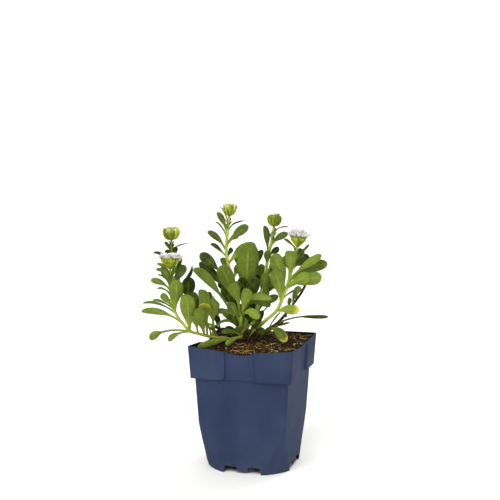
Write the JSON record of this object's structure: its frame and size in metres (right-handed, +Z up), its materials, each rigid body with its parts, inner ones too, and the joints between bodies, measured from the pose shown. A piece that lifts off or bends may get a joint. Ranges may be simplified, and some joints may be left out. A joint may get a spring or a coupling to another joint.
{
  "type": "potted candytuft",
  "caption": "Young candytuft in a dark blue square nursery pot: leafy shoots, flat flower heads, some opening white.",
  "frame": {"origin": "centre of the pot's base, on the surface it stands on", "axes": "+Z up; the pot's front collar panel faces -Y; +X to the right seen from the front"},
  "size_m": [0.1499, 0.0914, 0.2233],
  "materials": {
    "pot": "thin moulded plastic, dull",
    "soil": "loose dark potting mix with light fibres",
    "leaf": "smooth fleshy leaf, paler under side",
    "bud": "smooth green buds and flower stalks",
    "petal": "thin matt petals"
  },
  "bodies": {
    "root": {"pot": "pot", "soil": "soil", "shoot_low_left": "leaf", "shoot_high_left": "leaf", "shoot_mid_left": "leaf", "shoot_middle": "leaf", "shoot_mid_right": "leaf", "shoot_right": "leaf", "shoot_woody": "leaf", "shoot_front": "leaf", "head_low_left": "bud", "head_high_left": "bud", "head_mid_left": "bud", "head_mid_right": "bud", "head_right": "bud", "petals_low_left": "petal", "petals_right": "petal"}
  },
  "joints": []
}
